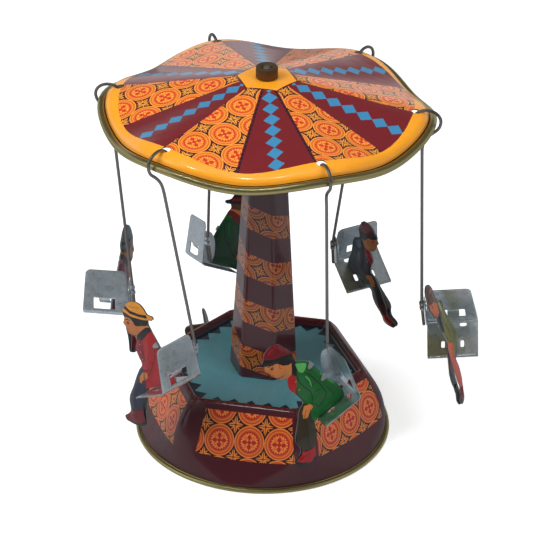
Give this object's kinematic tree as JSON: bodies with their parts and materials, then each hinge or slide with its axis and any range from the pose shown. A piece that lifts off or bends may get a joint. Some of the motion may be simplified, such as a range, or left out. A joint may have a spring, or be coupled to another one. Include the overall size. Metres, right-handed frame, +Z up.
{
  "type": "wind-up tin carousel toy",
  "caption": "Clockwork tin swing carousel: printed round base with winding key, hexagonal column, wavy umbrella canopy that turns, and seats with flat tin riders hung on wire hooks.",
  "frame": {"origin": "centre of the base's underside, on the drive shaft's axis", "axes": "+Z up along the drive shaft; the first swing's hook lies 1.745 degrees from +X; the winding arbor points 150 degrees anticlockwise from +X seen from above"},
  "size_m": [0.1959, 0.1673, 0.1959],
  "materials": {
    "litho_base": "lithographed tin, maroon ground with an orange and red star lattice, glossy",
    "litho_column": "lithographed tin, maroon with spiral ornament bands, glossy",
    "litho_canopy": "lithographed tin, maroon and orange sectors with blue diamonds, glossy",
    "brass_tin": "gold-lacquered tin",
    "brass": "stamped brass, satin",
    "zinc_steel": "plain steel",
    "spring_steel": "blued spring steel",
    "brown_nut": "browned steel",
    "key_tin": "plain tinplate, dull",
    "steel_wire": "drawn steel wire, slightly tarnished",
    "seat_tin": "spangled tinplate",
    "rider_olive": "lithographed tin, olive jacket and salmon trousers",
    "rider_slate": "lithographed tin, slate jacket and dark trousers",
    "rider_forest": "lithographed tin, dark green jacket and dark trousers",
    "rider_mauve": "lithographed tin, mauve jacket and pink trousers",
    "rider_red": "lithographed tin, red jacket and navy grey trousers",
    "rider_green": "lithographed tin, green jacket and olive brown trousers"
  },
  "bodies": {
    "base": {"base_shell": "litho_base", "bottom_plate": "brass_tin", "footstep_bearing": "brass", "column_shell": "litho_column", "column_top_bushing": "brass", "movement_plate_inner": "zinc_steel", "movement_plate_outer": "zinc_steel", "movement_pillar_1": "zinc_steel", "movement_pillar_2": "zinc_steel", "movement_pillar_3": "zinc_steel", "movement_pillar_4": "zinc_steel", "mainspring": "spring_steel"},
    "rotor": {"canopy_sheet": "litho_canopy", "canopy_collar": "zinc_steel", "top_nut": "brown_nut", "drive_shaft": "zinc_steel", "shaft_pinion": "zinc_steel"},
    "contrate": {"contrate_wheel": "brass", "contrate_pinion": "zinc_steel", "contrate_arbor": "zinc_steel"},
    "second": {"second_wheel": "brass", "second_pinion": "zinc_steel", "second_arbor": "zinc_steel"},
    "key": {"great_wheel": "brass", "winding_arbor": "zinc_steel", "winding_key": "key_tin"},
    "swing_1": {"hanger_wire_1": "steel_wire", "seat_1": "seat_tin", "rider_1_outer": "rider_olive", "rider_1_inner": "rider_olive"},
    "swing_2": {"hanger_wire_2": "steel_wire", "seat_2": "seat_tin", "rider_2_outer": "rider_slate", "rider_2_inner": "rider_slate"},
    "swing_3": {"hanger_wire_3": "steel_wire", "seat_3": "seat_tin", "rider_3_outer": "rider_forest", "rider_3_inner": "rider_forest"},
    "swing_4": {"hanger_wire_4": "steel_wire", "seat_4": "seat_tin", "rider_4_outer": "rider_mauve", "rider_4_inner": "rider_mauve"},
    "swing_5": {"hanger_wire_5": "steel_wire", "seat_5": "seat_tin", "rider_5_outer": "rider_red", "rider_5_inner": "rider_red"},
    "swing_6": {"hanger_wire_6": "steel_wire", "seat_6": "seat_tin", "rider_6_outer": "rider_green", "rider_6_inner": "rider_green"}
  },
  "joints": [
    {"name": "canopy_spin", "type": "hinge", "parent": "base", "child": "rotor", "pos_m": [0, 0, 0.1], "axis": [0, 0, 1], "continuous": true},
    {"name": "contrate_spin", "type": "hinge", "parent": "base", "child": "contrate", "pos_m": [0, 0, 0.013], "axis": [-0.866, 0.5, 0], "continuous": true},
    {"name": "second_spin", "type": "hinge", "parent": "base", "child": "second", "pos_m": [0.00513, 0.00888, 0.0175], "axis": [-0.866, 0.5, 0], "continuous": true},
    {"name": "key_spin", "type": "hinge", "parent": "base", "child": "key", "pos_m": [0.0095, 0.01645, 0.0245], "axis": [-0.866, 0.5, 0], "continuous": true},
    {"name": "swing_1_hang", "type": "hinge", "parent": "rotor", "child": "swing_1", "pos_m": [0.07517, 0.00229, 0.1746], "axis": [0.0305, -0.9995, 0], "range_deg": [-0.5, 40]},
    {"name": "swing_2_hang", "type": "hinge", "parent": "rotor", "child": "swing_2", "pos_m": [0.0356, 0.06624, 0.1746], "axis": [0.8808, -0.4734, 0], "range_deg": [-0.5, 40]},
    {"name": "swing_3_hang", "type": "hinge", "parent": "rotor", "child": "swing_3", "pos_m": [-0.03957, 0.06395, 0.1746], "axis": [0.8504, 0.5261, 0], "range_deg": [-0.5, 40]},
    {"name": "swing_4_hang", "type": "hinge", "parent": "rotor", "child": "swing_4", "pos_m": [-0.07517, -0.00229, 0.1746], "axis": [-0.0305, 0.9995, 0], "range_deg": [-0.5, 40]},
    {"name": "swing_5_hang", "type": "hinge", "parent": "rotor", "child": "swing_5", "pos_m": [-0.0356, -0.06624, 0.1746], "axis": [-0.8808, 0.4734, 0], "range_deg": [-0.5, 40]},
    {"name": "swing_6_hang", "type": "hinge", "parent": "rotor", "child": "swing_6", "pos_m": [0.03957, -0.06395, 0.1746], "axis": [-0.8504, -0.5261, 0], "range_deg": [-0.5, 40]}
  ],
  "couplings": [
    {"joint": "contrate_spin", "follows": "canopy_spin", "ratio": -0.6},
    {"joint": "second_spin", "follows": "canopy_spin", "ratio": 0.24},
    {"joint": "key_spin", "follows": "canopy_spin", "ratio": -0.096}
  ]
}
